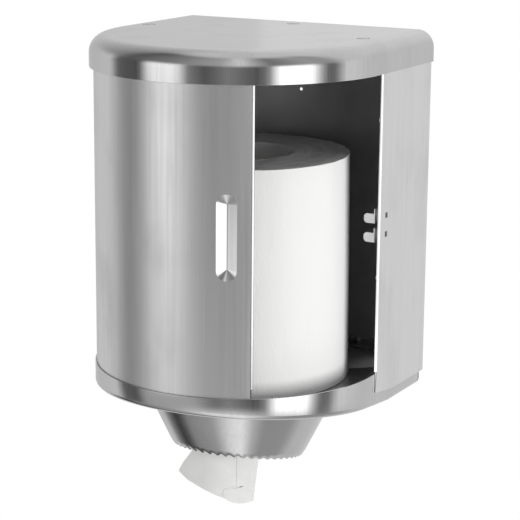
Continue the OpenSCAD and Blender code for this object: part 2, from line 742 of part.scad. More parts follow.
module paper_tail() color(paper_colour) home() {
  cols = tail_cols + 1;
  per_side = cols * (tail_rows + 1);
  points = [for (side = [0, 1], r = [0 : tail_rows], c = [0 : tail_cols])
    tail_point(2 * c / tail_cols - 1, r / tail_rows, side)];
  front = [for (r = [0 : tail_rows - 1], c = [0 : tail_cols - 1])
    let (p = r * cols + c) each [[p, p + 1, p + cols + 1], [p, p + cols + 1, p + cols]]];
  back = [for (f = front) [f[2] + per_side, f[1] + per_side, f[0] + per_side]];
  rim = concat(
    [for (c = [0 : tail_cols - 1]) [c + 1, c]],
    [for (c = [0 : tail_cols - 1]) [tail_rows * cols + c, tail_rows * cols + c + 1]],
    [for (r = [0 : tail_rows - 1]) [r * cols, (r + 1) * cols]],
    [for (r = [0 : tail_rows - 1]) [(r + 1) * cols + tail_cols, r * cols + tail_cols]]);
  edges = [for (e = rim) each [[e[0], e[1], e[1] + per_side], [e[0], e[1] + per_side, e[0] + per_side]]];
  polyhedron(points, concat(front, back, edges));
}

casing();
top_cap();
cap_rivets();
bottom_tray();
outlet_cone();
roll_shelf();
shelf_spacers();
shelf_studs();
shelf_nuts();
lower_track();
upper_track();
track_rivets();
track_stops();
door();
lower_glides();
upper_glides();
glide_rivets();
latch_plate();
latch_studs();
latch_nuts();
latch_fingers();
paper_roll();
paper_tail();
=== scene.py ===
# Wall dispenser for a centre-feed paper towel roll, in polished sheet steel.
# Lengths named below are millimetres, in the dispenser's own frame: its origin is
# on the upright axis of the half round, level with the tray's rim. Angles are degrees,
# counted to the right from straight ahead as seen from above, unless a comment says more.
import math
import bpy
from mathutils import Matrix, Vector, noise


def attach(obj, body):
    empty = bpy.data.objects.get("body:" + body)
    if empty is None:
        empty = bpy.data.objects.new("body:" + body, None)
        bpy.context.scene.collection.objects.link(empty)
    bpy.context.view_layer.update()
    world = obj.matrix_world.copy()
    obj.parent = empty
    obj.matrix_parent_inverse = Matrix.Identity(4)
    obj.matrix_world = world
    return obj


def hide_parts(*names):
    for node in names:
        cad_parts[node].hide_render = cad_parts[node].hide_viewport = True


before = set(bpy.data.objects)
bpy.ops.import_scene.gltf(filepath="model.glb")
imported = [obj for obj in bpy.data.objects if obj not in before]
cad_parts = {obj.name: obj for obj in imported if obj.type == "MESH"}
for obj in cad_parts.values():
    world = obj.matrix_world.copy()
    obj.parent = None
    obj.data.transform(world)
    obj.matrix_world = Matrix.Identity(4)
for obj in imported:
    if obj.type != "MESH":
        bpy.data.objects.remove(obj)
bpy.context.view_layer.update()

MM = 0.001
# Points closer together than this count as one
NEAR = 0.01
# The frame's origin on the wall, from the dispenser's own
HOME = Vector((0, -117, -135)) * MM

# Camera: focal length and sensor, place in metres, and its turns round, up and about its axis
LENS, SENSOR = 126.59, 36
CAMERA_PLACE = (0.7899, -1.5238, 0.3336)
CAMERA_ROUND, CAMERA_RISE, CAMERA_ROLL = 28.6689, 13.1766, 0.4679

# Sheet and cap: radius, heights and edge radius, then the wall's distance behind the axis,
# the roof's border, and the places and holes of the rivets
SHEET = 1
CAP_R, CAP_LOW, CAP_TOP, CAP_EDGE, CAP_STEPS = 134, 267.7, 295.9, 16, 160
WALL_BACK, ROOF_BORDER = 117, 2
RIVETS, RIVET_HOLE = ((-109, 21), (109, 21), (0, 98)), 5.8
CAP_BEVEL = 0.2

# Door at rest: radius, heights, the angles of its two edges, steps round, and sides of the round that
# trims what is pressed inwards
DOOR_R, DOOR_LOW, DOOR_TOP = 130.2, -10.7, 282.9
DOOR_FROM, DOOR_OPEN, DOOR_STEPS, BULGE_SIDES = -151.6, 34.4, 372, 720
# Fold along the door's free edge: half its thickness, heights, corner radius, and the angle it takes up
FOLD_HALF, FOLD_LOW, FOLD_TOP, FOLD_CORNER = 1.15, 7.7, 272.7, 0.4
FOLD_ANGLE = math.degrees(math.asin(FOLD_HALF / (DOOR_R - FOLD_HALF)))
# Slant of the door's fold and of the casing's hem against the panel beside it
HEM_TURN = 51

# Finger recess: size, slope of its sides, middle, and wall thickness round it
RECESS_W, RECESS_L, RECESS_SLOPE = 18.7, 74, 30
RECESS_MID, RECESS_ANGLE, RECESS_WALL = 139.5, 24.3, 0.8
# Its cutting form: reach in front of the door, radius at the tip, sides, and overlap with the sheet
GROOVE_REACH, GROOVE_TIP, GROOVE_SIDES, GROOVE_OVERLAP = 12, 0.3, 72, 0.5
# Faces that belong to it: depth below the door's face and angle to either side, front and back
DISH_DEPTH, DISH_ANGLE = 0.05, 4.3
BACK_DEPTH, BACK_ANGLE = 1.1, 5

# Casing: inner face, front, and heights of the right-hand hem, how deep its fold reaches, a margin
# for its vertices, and half the width between the middles of the side panels' sheet
HEM_IN, HEM_FRONT, HEM_LOW, HEM_TOP, HEM_DEEP, HEM_MARGIN = 130.8, 11, 1.75, 279.5, 2.4, 0.1
PANEL_MIDDLE = 132.3
# Key slots: their distance behind the axis, half the zone that holds them, and growth in width
KEY_SLOT_Y, KEY_SLOT_ZONE, KEY_SLOT_GROWTH = 26, 3, 0.4

# Roll: radii of side and hole, heights, how far it stands in front of the axis, edge radius, steps
ROLL_R, ROLL_HOLE, ROLL_LOW, ROLL_TALL = 102, 49, -10.7, 203
ROLL_FRONT, ROLL_EDGE, ROLL_STEPS, ROLL_ROWS = -5, 0.9, 240, 12
# Its looseness: depth of the upper rim that is ruffled, its sinking, its ruffle and how fine it is
RIM, SINKING, RUFFLE, RUFFLE_FINE = 0.4, 0.4, 1.2, 60
# Depth of the side that is shrunk, its taper and shrinking, and its dents: size, fineness, flatness
SIDE, TAPER, SHRINKING, DENT, DENT_FINE, DENT_FLAT = 2, 1.6, 0.5, 0.5, 40, 0.2

# Four layers of the folded web: place of each one's two edges, lowest points, and depth
LAYERS = (
    ("front", "right", (-134, -139, -141.5, -142, -141, -139.8), 0.9),
    ("right", "left", (-139.8, -142, -140.4, -137.5, -134, -130, -125.5, -120, -111), 0.5),
    ("left", "behind", (-111, -119, -124, -128, -131, -133, -135), -2.5),
    ("behind", "hidden", (-135, -131, -128, -123, -117), -6),
)
# Widths across the web where the layers begin and end
WEB = (0, 22, 85, 145, 203)
# Edges that show: places to the right from a depth downwards, and the length they are spread over
WEB_EDGES = {
    "left": ((-34, -37, -41.8, -49, -54.2), 70, 41),
    "right": ((26, 22.5, 20.5, 18, 16), 60, 80),
}
# Straight edges behind, and the front edge with the notch that is torn into it
HIDDEN_EDGES = {"behind": 11, "hidden": -38}
FRONT_EDGE, NOTCH_FROM, NOTCH_WIDE, SLANT_FROM, NOTCH_SLANT = 0.5, 124.5, 11, 125, 0.3
# The web's upper edge, its lift above the lowest points, its turn, and its distance from the hole's wall
WEB_TOP, WEB_LIFT, WEB_TURN, WEB_GAP = 25, 1.8, 28.6, 0.9
# How it is gathered: share of a layer that bends over, pace of the settling from the round of the
# roll to the folds, and half the span and the middle of that round
BEND_SHARE, SETTLE_PACE, WRAP_HALF, WRAP_MIDDLE = 0.15, 2.2, 120, 180
# Depth of its waves and of its crumpling, and how fast both change across and downwards
WAVE, WAVE_ACROSS, WAVE_DOWN = 3, 0.06, 0.03
CRUMPLE, CRUMPLE_ACROSS, CRUMPLE_DOWN = 3, 0.03, 0.02
WEB_MESH, PAPER_THICK = (203, 150), 0.3
# Places across the web, in metres, between which it turns greyer, as painted shade of its folded-back
# layers
WEB_SHADED = (-0.05, -0.1)

# Each finish runs between two colours; worn steel keeps a share of its brightness. The darker colour of
# the roll and of the web is mostly painted shade.
PLAIN_COLOURS = (0.52, 0.52, 0.53), (0.66, 0.66, 0.67)
ZINC_COLOURS = (0.55, 0.56, 0.58), (0.74, 0.74, 0.72)
PLASTIC_COLOURS = (0.045, 0.046, 0.048), (0.07, 0.071, 0.073)
ROLL_TONE_AND_PAINTED_SHADE_COLOURS = (0.875, 0.874, 0.868), (0.72, 0.718, 0.71)
WEB_TONE_AND_PAINTED_SHADE_COLOURS = (0.84, 0.839, 0.832), (0.56, 0.559, 0.553)
FLOOR_SHADES = 0.76, 0.8
WORN_SHARE = 0.86

# Studio, in metres: floor, and lamps with their angle to the right of the camera and power
FLOOR_R, FLOOR_PLACE, FLOOR_FADE = 2.6, (0, -0.1, -1.3), (1.3, 2.5)
LAMPS = (("right_lamp", 50, 40), ("left_lamp", -60, 26))
LAMP_FAR, LAMP_HIGH, LAMP_SIZE, LAMP_AIM = 2.4, -0.1, 1.1, Vector((0, -0.1, 0))
# Direction of the camera, from the x axis towards the y axis
CAMERA_SIDE = -61.3

# Brightness of the room round the dispenser, by angle to the right of the camera:
# level with it, above it and below it
ROOM_LEVEL = (
    (-180, 0.65), (-150, 0.6), (-114, 0.75), (-104, 0.15), (-80, 0.08), (-71, 1.2), (-49, 1.35),
    (-39, 0.25), (-26, 0.1), (-8, 0.3), (14, 0.1), (22, 0.3), (30, 1.9), (54, 1.9), (61, 0.7),
    (68, 0.12), (76, 0.2), (86, 0.9), (110, 0.72), (180, 0.75))
ROOM_ABOVE = (
    (-180, 0.84), (-165, 0.65), (-115, 0.35), (-95, 0.12), (-50, 0.3), (-15, 0.5), (0, 1.0),
    (12, 0.5), (25, 0.22), (55, 0.45), (75, 0.4), (90, 0.75), (180, 0.88))
ROOM_BELOW = (
    (-180, 0.8), (-150, 0.7), (-135, 0.25), (-122, 0.05), (-112, 0.1), (-100, 0.33), (-60, 0.45),
    (-30, 1.0), (0, 1.15), (26, 0.6), (50, 0.38), (95, 0.4), (115, 0.65), (180, 0.72))
# Where the room turns from level to above, to the zenith and to below, as heights of the direction
ABOVE_FROM, ZENITH_FROM, BELOW_FROM = (0.12, 0.42), (0.85, 0.98), (-0.6, -0.42)
# Where a grey patch ends upwards, to the right and to the back, as parts of the direction
PATCH_TOP, PATCH_RIGHT, PATCH_BACK = (-0.34, -0.14), (-0.6, -0.2), (0, 0.2)
# Brightness of the zenith, of the grey patch, and of all to rays that aren't glossy
ZENITH_SHADE, PATCH_SHADE, PLAIN_SHADE = 0.75, 0.5, 0.35

# Slots of the copies whose finish is only the scene's own
SLOTS = {"latch_fingers": "polished_steel", "cap_rivets": "polished_steel"}
# CAD nodes whose shape is right: node, name, body, finish
COPIES = (
    ("cap_rivets", "flush_rivets", "case", "plain_steel"),
    ("bottom_tray", "half_round_tray", "case", "polished_steel"),
    ("outlet_cone", "scalloped_cone", "case", "polished_steel"),
    ("roll_shelf", "roll_plate", "case", "plain_steel"),
    ("shelf_spacers", "plate_spacers", "case", "plain_steel"),
    ("shelf_studs", "plate_studs", "case", "zinc_steel"),
    ("shelf_nuts", "plate_nuts", "case", "zinc_steel"),
    ("lower_track", "bottom_rail", "case", "plain_steel"),
    ("upper_track", "top_rail", "case", "plain_steel"),
    ("track_rivets", "rail_rivets", "case", "zinc_steel"),
    ("track_stops", "rail_stops", "case", "plain_steel"),
    ("lower_glides", "bottom_glides", "door", "glide_plastic"),
    ("upper_glides", "top_glides", "door", "glide_plastic"),
    ("glide_rivets", "door_rivets", "door", "polished_steel"),
    ("latch_plate", "stepped_plate", "case", "plain_steel"),
    ("latch_studs", "plate_pins", "case", "zinc_steel"),
    ("latch_nuts", "pin_nuts", "case", "zinc_steel"),
    ("latch_fingers", "forked_leaf", "latch", "spring_steel"),
)


def polar(radius, angle):
    """Place at an angle to the right of straight ahead."""
    turn = math.radians(angle)
    return radius * math.sin(turn), -radius * math.cos(turn)


def shift(x, y, z):
    """Move by millimetres."""
    return Matrix.Translation(Vector((x, y, z)) * MM)


def turn_about(axis, angle):
    return Matrix.Rotation(math.radians(angle), 4, axis)


def photo_camera():
    """The view of the photograph, from the front right and a little above."""
    data = bpy.data.cameras.new("photo_view")
    data.lens, data.sensor_width = LENS, SENSOR
    camera = bpy.data.objects.new("photo_view", data)
    bpy.context.scene.collection.objects.link(camera)
    camera.matrix_world = (Matrix.Translation(CAMERA_PLACE) @ turn_about("Z", CAMERA_ROUND)
                           @ turn_about("X", 90 - CAMERA_RISE) @ turn_about("Z", CAMERA_ROLL))
    bpy.context.scene.camera = camera


# Shaders
def grey(shade):
    return (shade, shade, shade)


class Value:
    """A socket of a node tree; arithmetic on it adds Math nodes."""

    def __init__(self, tree, socket):
        self.tree, self.socket = tree, socket

    def math(self, operation, *values):
        return self.tree.add("ShaderNodeMath", {"operation": operation}, dict(enumerate(values)))

    def __add__(self, other): return self.math("ADD", self, other)
    def __mul__(self, other): return self.math("MULTIPLY", self, other)
    def __truediv__(self, other): return self.math("DIVIDE", self, other)
    def __pow__(self, other): return self.math("POWER", self, other)
    def __radd__(self, other): return self.math("ADD", other, self)
    def __rsub__(self, other): return self.math("SUBTRACT", other, self)

    def axes(self):
        """The three parts of a vector."""
        split = self.tree.add("ShaderNodeSeparateXYZ", inputs={"Vector": self}).socket.node
        return [Value(self.tree, split.outputs[axis]) for axis in "XYZ"]

    def ramp(self, low, high):
        """0 at low, 1 at high, and a soft step between."""
        settings = {"interpolation_type": "SMOOTHSTEP"}
        inputs = {"Value": self, "From Min": low, "From Max": high}
        return self.tree.add("ShaderNodeMapRange", settings, inputs)


class Tree:
    """Adds nodes to a material's or the world's node tree."""

    def __init__(self, owner):
        owner.use_nodes = True
        self.nodes, self.links = owner.node_tree.nodes, owner.node_tree.links

    def add(self, kind, settings=None, inputs=None, output=0):
        node = self.nodes.new(kind)
        for name, value in (settings or {}).items():
            setattr(node, name, value)
        for name, value in (inputs or {}).items():
            self.feed(node.inputs[name], value)
        return Value(self, node.outputs[output])

    def feed(self, socket, value):
        if isinstance(value, Value):
            self.links.new(value.socket, socket)
        else:
            socket.default_value = value

    def mix(self, share, first, second):
        """Two colours mixed; the sockets go by number, since other sockets share their names."""
        mixed = self.add("ShaderNodeMix", {"data_type": "RGBA"}, output=2)
        sockets = mixed.socket.node.inputs
        self.feed(sockets[0], share)
        for socket, colour in ((sockets[6], first), (sockets[7], second)):
            self.feed(socket, colour if isinstance(colour, Value) else (*colour, 1))
        return mixed


class Finish(Tree):
    """A surface finish on Object coordinates, in metres."""

    def __init__(self, name, **sockets):
        self.material = bpy.data.materials.new(name)
        super().__init__(self.material)
        self.shader = self.nodes["Principled BSDF"]
        for socket, value in sockets.items():
            self.set(socket.replace("_", " "), value)
        self.place = self.add("ShaderNodeTexCoord", output="Object")

    def moved(self, location=(0, 0, 0), scale=(1, 1, 1)):
        inputs = {"Vector": self.place, "Location": location, "Scale": scale}
        return self.add("ShaderNodeMapping", inputs=inputs)

    def noise(self, scale, detail=2, stretch=(1, 1, 1), roughness=0.5):
        return self.add("ShaderNodeTexNoise", inputs={
            "Vector": self.moved(scale=stretch), "Scale": scale,
            "Detail": detail, "Roughness": roughness})

    def set(self, socket, value):
        self.feed(self.shader.inputs[socket], value)

    def bump(self, *layers):
        """Layers of height and depth in millimetres, from broad to fine."""
        normal = {}
        for height, depth in layers:
            inputs = {"Height": height, "Distance": depth * MM, "Strength": 1.0, **normal}
            normal = {"Normal": self.add("ShaderNodeBump", inputs=inputs)}
        self.set("Normal", normal["Normal"])


def steel_sheet(name, bright, roughness, grain_depth, wave_depth, worn):
    """Stainless sheet: soft waves, fine upright grain, scuffs and faint rubbed patches."""
    steel = Finish(name, Metallic=1.0)
    waves = steel.noise(scale=8, detail=1)
    grain = steel.noise(scale=1500, detail=3, stretch=(1, 1, 0.012))
    streaks = steel.noise(scale=420, detail=3, stretch=(1, 1, 0.015)).ramp(0.3, 0.7)
    rubbed = steel.noise(scale=24, detail=5, stretch=(1, 1, 0.6)).ramp(0.45, 0.75)
    scuffs = steel.noise(scale=90, stretch=(1, 1, 9), roughness=0.6).ramp(0.68, 0.78)
    dull = rubbed * 0.5 + (streaks + scuffs * 1.6) * worn
    steel.set("Base Color", steel.mix(dull, grey(bright), grey(bright * WORN_SHARE)))
    steel.set("Roughness", roughness + grain * 0.05 + streaks * 0.05 + rubbed * 0.04)
    steel.bump((waves, wave_depth), (grain, grain_depth))
    return steel.material


def polished_steel():
    """Deep-drawn pieces, polished nearly to a mirror."""
    return steel_sheet("polished_steel", bright=0.64, roughness=0.09,
                       grain_depth=0.0012, wave_depth=0.12, worn=0.2)


def brushed_steel():
    """Flat and rolled sheet with a satin upright grain."""
    return steel_sheet("brushed_steel", bright=0.85, roughness=0.31,
                       grain_depth=0.004, wave_depth=0.2, worn=0.3)


def spring_steel():
    """Bright leaf of the latch."""
    return steel_sheet("spring_steel", bright=0.93, roughness=0.5,
                       grain_depth=0.003, wave_depth=0.1, worn=0.1)


def plain_steel():
    """Dull rolled steel of the inner fittings."""
    steel = Finish("plain_steel", Metallic=1.0)
    grain = steel.noise(scale=260, detail=4, stretch=(1, 1, 0.2))
    stains = steel.noise(scale=35, detail=3)
    steel.set("Base Color", steel.mix(stains, *PLAIN_COLOURS))
    steel.set("Roughness", 0.3 + grain * 0.16)
    steel.bump((grain, 0.01))
    return steel.material


def zinc_steel():
    """Zinc-plated screws and nuts."""
    zinc = Finish("zinc_steel", Metallic=1.0)
    spangle = zinc.noise(scale=500)
    zinc.set("Base Color", zinc.mix(spangle, *ZINC_COLOURS))
    zinc.set("Roughness", 0.26 + spangle * 0.2)
    zinc.bump((spangle, 0.008))
    return zinc.material


def glide_plastic():
    """Moulded dark plastic of the glides."""
    plastic = Finish("glide_plastic", Metallic=0.0)
    fine = plastic.noise(scale=1400, detail=3)
    plastic.set("Base Color", plastic.mix(fine, *PLASTIC_COLOURS))
    plastic.set("Roughness", 0.42 + fine * 0.15)
    plastic.bump((fine, 0.02))
    return plastic.material


def roll_paper():
    """Creped white paper, wound: fine rings on the ends, faint creping on the side. Both end faces are
    painted darker, as painted shade for the upper end that the cap shades, and the side is painted
    darker where the dents rise, as painted shade of its uneven winding.
    """
    paper = Finish("roll_paper", Roughness=0.92, Specular_IOR_Level=0.25)
    x, y = paper.moved(location=(0, -HOME.y - ROLL_FRONT * MM, 0)).axes()[:2]
    radius = (x * x + y * y) ** 0.5
    facing = paper.add("ShaderNodeNewGeometry", output="Normal").axes()[2]
    # Painted shade: the end faces are darker, since the upper end lies in the cap's shade
    end = facing.math("ABSOLUTE", facing).ramp(0.5, 0.7)
    fine = radius * 2600 + paper.noise(scale=12) * 3
    broad = radius * 420 + paper.noise(scale=20) * 4
    rings = end * (fine.math("SINE", fine) + broad.math("SINE", broad))
    crepe = paper.noise(scale=700, detail=3, stretch=(1, 1, 0.25))
    soft = paper.noise(scale=60, detail=3, stretch=(1, 1, 0.4))
    dents = paper.noise(scale=16, stretch=(1, 1, 0.5))
    # Painted shade on the ends and where the dents rise; the rings are the winding's own pattern
    shade = (rings * 0.5 + end) * 0.35 + dents * 0.25
    paper.set("Base Color", paper.mix(shade, *ROLL_TONE_AND_PAINTED_SHADE_COLOURS))
    paper.bump((dents, 2), (soft, 0.8), (rings, 0.15), (crepe, 0.16))
    return paper.material


def sheet_paper():
    """The same paper as one hanging sheet, greyer towards its left as painted shade of its folded-back
    layers.
    """
    paper = Finish("sheet_paper", Roughness=0.92, Specular_IOR_Level=0.25)
    x, y = paper.place.axes()[:2]
    across = x * math.cos(math.radians(WEB_TURN)) + y * math.sin(math.radians(WEB_TURN))
    crepe = paper.noise(scale=900, detail=3, stretch=(1, 1, 0.3))
    # Painted shade: greyer across towards the left, where the layers lie behind; the noise is the
    # paper's own uneven tone
    soft = paper.noise(scale=70, detail=3) * 0.4 + across.ramp(*WEB_SHADED) * 0.6
    paper.set("Base Color", paper.mix(soft, *WEB_TONE_AND_PAINTED_SHADE_COLOURS))
    paper.bump((soft, 0.4), (crepe, 0.1))
    return paper.material


FINISHES = {make.__name__: make() for make in (
    polished_steel, brushed_steel, spring_steel, plain_steel, zinc_steel, glide_plastic,
    roll_paper, sheet_paper)}


# Modelling helpers
def object_mode():
    if bpy.context.object and bpy.context.object.mode != "OBJECT":
        bpy.ops.object.mode_set(mode="OBJECT")


def only(piece=None):
    """Object mode, with this piece selected alone, or nothing."""
    object_mode()
    bpy.ops.object.select_all(action="DESELECT")
    if piece:
        piece.select_set(True)
        bpy.context.view_layer.objects.active = piece


def edit_all(piece):
    """Edit mode, with everything selected."""
    only(piece)
    bpy.ops.object.mode_set(mode="EDIT")
    bpy.ops.mesh.select_all(action="SELECT")


def choose_edges(piece, test):
    """Edit mode, with the edges selected whose two ends pass the test."""
    edit_all(piece)
    bpy.ops.mesh.select_mode(type="EDGE")
    bpy.ops.mesh.select_all(action="DESELECT")
    object_mode()
    vertices = piece.data.vertices
    for edge in piece.data.edges:
        edge.select = test(*(vertices[v].co for v in edge.vertices))
    bpy.ops.object.mode_set(mode="EDIT")


def modify(piece, kind, **settings):
    only(piece)
    modifier = piece.modifiers.new(kind.lower(), kind)
    for name, value in settings.items():
        setattr(modifier, name, value)
    bpy.ops.object.modifier_apply(modifier=modifier.name)


def bevel(piece, width, segments):
    """Round the edges that are sharper than 60 degrees."""
    modify(piece, "BEVEL", width=width * MM, segments=segments, limit_method="ANGLE",
           angle_limit=math.radians(60))


def even_normals(piece):
    modify(piece, "WEIGHTED_NORMAL", keep_sharp=True, weight=50)


def carve(piece, tool, operation="DIFFERENCE"):
    modify(piece, "BOOLEAN", object=tool, operation=operation, solver="EXACT")
    bpy.data.objects.remove(tool)


def rod(radius, low, high, x=0, y=0, sides=48):
    only()
    bpy.ops.mesh.primitive_cylinder_add(
        vertices=sides, radius=radius * MM, depth=(high - low) * MM)
    piece = bpy.context.object
    piece.data.transform(shift(x, y, (low + high) / 2))
    return piece


def arc(x, z, radius, start, end, steps):
    """Points of a profile round (x, z), at angles up from the horizontal."""
    turns = (math.radians(start + (end - start) * step / steps) for step in range(steps + 1))
    return [(x + radius * math.cos(turn), z + radius * math.sin(turn)) for turn in turns]


def turned(profile, start=0, end=360, steps=180, closed=False):
    """Spin a profile of (radius, height) points about the upright axis."""
    only()
    bpy.ops.mesh.primitive_circle_add(vertices=len(profile), fill_type="NOTHING")
    piece = bpy.context.object
    vertices = piece.data.vertices
    for vertex, (radius, height) in zip(vertices, profile):
        vertex.co = Vector((*polar(radius, start), height)) * MM
    if not closed:
        ends = {tuple(vertices[0].co), tuple(vertices[-1].co)}
        choose_edges(piece, lambda a, b: {tuple(a), tuple(b)} == ends)
        bpy.ops.mesh.delete(type="EDGE")
    edit_all(piece)
    bpy.ops.mesh.spin(
        steps=steps, angle=math.radians(end - start), center=(0, 0, 0), axis=(0, 0, -1))
    bpy.ops.mesh.select_all(action="SELECT")
    bpy.ops.mesh.remove_doubles(threshold=NEAR * MM)
    if closed and end - start < 360:
        bpy.ops.mesh.select_all(action="DESELECT")
        bpy.ops.mesh.select_mode(type="EDGE")
        bpy.ops.mesh.select_non_manifold()
        bpy.ops.mesh.fill_holes(sides=0)
        bpy.ops.mesh.select_all(action="SELECT")
    bpy.ops.mesh.normals_make_consistent(inside=False)
    object_mode()
    return piece


def bake_place(piece):
    only(piece)
    bpy.ops.object.transform_apply(location=True, rotation=True, scale=True)


def finished(piece, name, body, finish, slot, *nodes, angle=30):
    """Smooth the piece, give it its finish, hang it on its body and hide the CAD nodes it stands for."""
    bake_place(piece)
    bpy.ops.object.shade_smooth_by_angle(angle=math.radians(angle))
    piece.name = piece.data.name = name
    piece.data.materials.clear()
    piece.data.materials.append(FINISHES[finish])
    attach(piece, body)
    if nodes:
        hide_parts(*nodes)
    return piece


def second_finish(piece, finish, test):
    """Give another finish to the faces whose centre, in millimetres, passes the test."""
    piece.data.materials.append(FINISHES[finish])
    for face in piece.data.polygons:
        if test((face.center - HOME) / MM):
            face.material_index = len(piece.data.materials) - 1


def node_copy(node, name, body, finish, slot):
    """A CAD piece whose shape is right, merged so that its round faces can be smooth."""
    piece = bpy.data.objects.new(name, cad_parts[node].data.copy())
    bpy.context.scene.collection.objects.link(piece)
    edit_all(piece)
    bpy.ops.mesh.remove_doubles(threshold=NEAR * MM)
    object_mode()
    return finished(piece, name, body, finish, slot, node)


# Steel pieces
def finger_groove(grow):
    """Form of the finger recess, enlarged all round by a length.

    It is a blunt cone that points inwards and is drawn out lengthwise.
    """
    slope = math.tan(math.radians(RECESS_SLOPE))
    half = RECESS_W / 2 + grow / math.sin(math.radians(RECESS_SLOPE))
    wide = half + GROOVE_REACH / slope
    tall = (wide - GROOVE_TIP) * slope
    only()
    bpy.ops.mesh.primitive_cone_add(
        vertices=GROOVE_SIDES, radius1=wide * MM, radius2=GROOVE_TIP * MM, depth=tall * MM)
    form = bpy.context.object
    form.data.transform(shift(0, 0, tall / 2 - GROOVE_REACH) @ turn_about("Z", 180 / GROOVE_SIDES))
    for vertex in form.data.vertices:
        vertex.co.y += math.copysign((RECESS_L - RECESS_W) / 2 * MM, vertex.co.y)
    # The cone's axis becomes the door's inward normal, and its length turns upright
    inward, upward = -Vector((*polar(1, RECESS_ANGLE), 0)), Vector((0, 0, 1))
    turn = Matrix((upward.cross(inward), upward, inward)).transposed().to_4x4()
    form.data.transform(shift(*polar(DOOR_R, RECESS_ANGLE), RECESS_MID) @ turn)
    return form


def door_sheet():
    """Rolled sheet with a pressed finger recess and a folded free edge."""
    end = DOOR_OPEN - FOLD_ANGLE
    inner = DOOR_R - SHEET
    section = [(inner, DOOR_LOW), (DOOR_R, DOOR_LOW), (DOOR_R, DOOR_TOP), (inner, DOOR_TOP)]
    door = turned(section, DOOR_FROM, end, DOOR_STEPS, closed=True)
    bulge = finger_groove(RECESS_WALL)
    carve(bulge, rod(DOOR_R - GROOVE_OVERLAP, DOOR_LOW, DOOR_TOP, sides=BULGE_SIDES), "INTERSECT")
    carve(door, bulge, "UNION")
    # The fold is a flattened tube that faces a little further round than the door
    only()
    bpy.ops.mesh.primitive_cube_add(size=1)
    fold = bpy.context.object
    size = Vector((2 * FOLD_HALF, 2 * FOLD_HALF, FOLD_TOP - FOLD_LOW)) * MM
    fold.data.transform(Matrix.Diagonal((*size, 1)))
    bevel(fold, FOLD_CORNER, segments=3)
    fold.data.transform(shift(*polar(DOOR_R - FOLD_HALF, end), (FOLD_LOW + FOLD_TOP) / 2)
                        @ turn_about("Z", HEM_TURN))
    carve(door, fold, "UNION")
    carve(door, finger_groove(0))
    door.data.transform(Matrix.Translation(HOME))
    finished(door, "door_sheet", "door", "brushed_steel", "polished_steel", "door", angle=20)

    def is_polished(place):
        """Whether a face belongs to the fold or to the recess."""
        depth = DOOR_R - math.hypot(place.x, place.y)
        angle = math.degrees(math.atan2(place.x, -place.y))
        aside = abs(angle - RECESS_ANGLE)
        folded = angle > DOOR_OPEN - 2 * FOLD_ANGLE
        dish = depth > DISH_DEPTH and aside < DISH_ANGLE
        back = depth > BACK_DEPTH and aside < BACK_ANGLE
        return folded or back or (dish and abs(place.z - RECESS_MID) < RECESS_L / 2)

    second_finish(door, "polished_steel", is_polished)


def rounded_cap():
    """Half-round cap: skirt and rounded edge spun, drawn back to the wall, and roofed."""
    edge = arc(CAP_R - CAP_EDGE, CAP_TOP - CAP_EDGE, CAP_EDGE, 0, 90, steps=15)
    cap = turned([(CAP_R, CAP_LOW)] + edge, -90, 90, CAP_STEPS)
    choose_edges(cap, lambda a, b: max(abs(a.y), abs(b.y)) < NEAR * MM)
    bpy.ops.mesh.extrude_region_move(
        TRANSFORM_OT_translate={"value": (0, WALL_BACK * MM, 0)})
    choose_edges(cap, lambda a, b: min(a.z, b.z) > (CAP_TOP - NEAR) * MM)
    bpy.ops.mesh.edge_face_add()
    bpy.ops.mesh.inset(thickness=ROOF_BORDER * MM)
    bpy.ops.mesh.select_all(action="SELECT")
    bpy.ops.mesh.normals_make_consistent(inside=False)
    modify(cap, "SOLIDIFY", thickness=SHEET * MM, offset=-1)
    for x, y in RIVETS:
        carve(cap, rod(RIVET_HOLE, CAP_TOP - 3 * SHEET, CAP_TOP + 2 * SHEET, x, y))
    bevel(cap, CAP_BEVEL, segments=2)
    cap.data.transform(Matrix.Translation(HOME))
    finished(cap, "rounded_cap", "case", "polished_steel", "polished_steel", "top_cap")
    even_normals(cap)


def folded_casing():
    """The casing, with the fold of its right-hand hem flattened and its key slots opened. Its inside is
    darker plain steel, partly painted shade.
    """
    casing = node_copy("casing", "folded_casing", "case", "brushed_steel", "polished_steel")
    slope = math.tan(math.radians(HEM_TURN))
    for vertex in casing.data.vertices:
        x, y, z = (vertex.co - HOME) / MM
        on_hem = x > HEM_IN - HEM_MARGIN and HEM_LOW - HEM_MARGIN < z < HEM_TOP
        if on_hem and y < HEM_FRONT + SHEET + HEM_MARGIN:
            vertex.co.y += max(0, HEM_FRONT + (x - HEM_IN) * slope - y) * MM
        elif x > HEM_IN and abs(y - KEY_SLOT_Y) < KEY_SLOT_ZONE:
            vertex.co.y += (y - KEY_SLOT_Y) * KEY_SLOT_GROWTH * MM
    only(casing)
    bpy.ops.object.shade_smooth_by_angle(angle=math.radians(30))
    # The inside is the duller, darker plain steel: partly an unpolished inner face, partly painted shade
    # of the dark interior
    second_finish(casing, "plain_steel", lambda place: (
        abs(place.x) < PANEL_MIDDLE and place.y < WALL_BACK - SHEET / 2))
    second_finish(casing, "polished_steel", lambda place: (
        place.x > HEM_IN and place.y < HEM_FRONT + HEM_DEEP and HEM_LOW < place.z < HEM_TOP))
    even_normals(casing)


